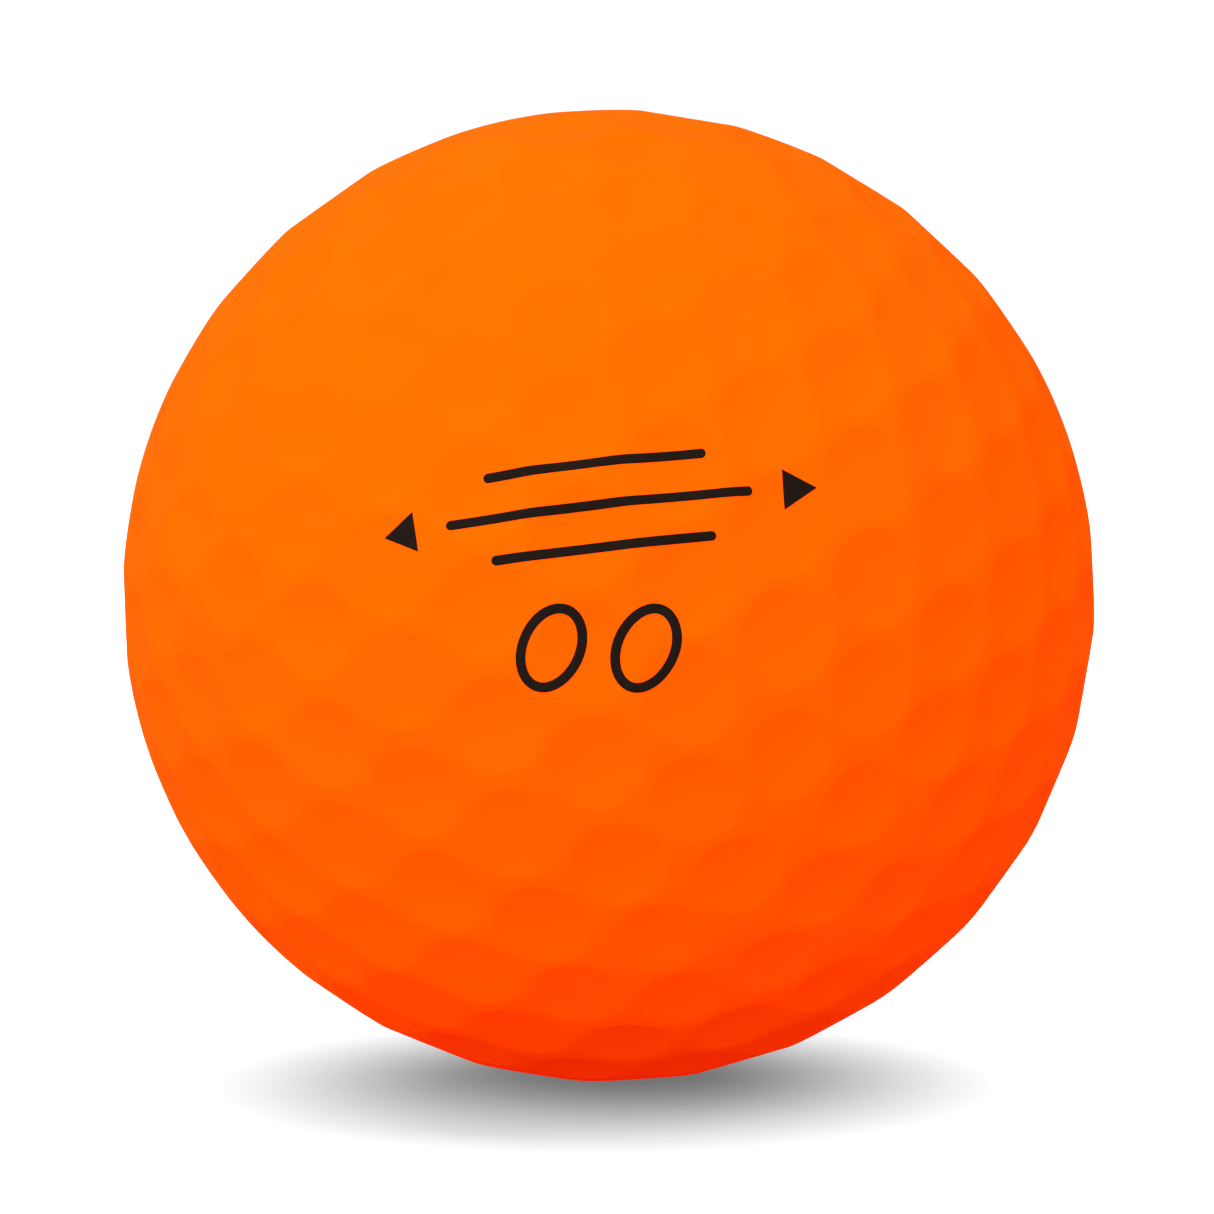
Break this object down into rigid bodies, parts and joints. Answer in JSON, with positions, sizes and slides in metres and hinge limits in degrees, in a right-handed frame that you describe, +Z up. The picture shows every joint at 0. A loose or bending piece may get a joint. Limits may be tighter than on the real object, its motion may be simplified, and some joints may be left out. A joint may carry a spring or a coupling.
{
  "type": "golf ball",
  "caption": "Round dimpled golf ball with a solid rubber core inside a thin moulded cover in two half shells.",
  "frame": {"origin": "centre of the ball", "axes": "+Z up as the ball rests; -Y looks out of the printed side and +X to the right of it. The printed pole is the direction (0, -0.963, 0.271), turned up 15.7 degrees from -Y, and the cover's parting line runs round the ball close to the plane through the centre square to that pole"},
  "size_m": [0.0426, 0.0426, 0.0426],
  "materials": {
    "cover_ionomer": "matte fluorescent orange ionomer with a clear matte topcoat",
    "core_rubber": "plain moulded polybutadiene rubber, slightly rough"
  },
  "bodies": {
    "root": {"core": "core_rubber", "cover_front_half": "cover_ionomer", "cover_rear_half": "cover_ionomer"}
  },
  "joints": []
}
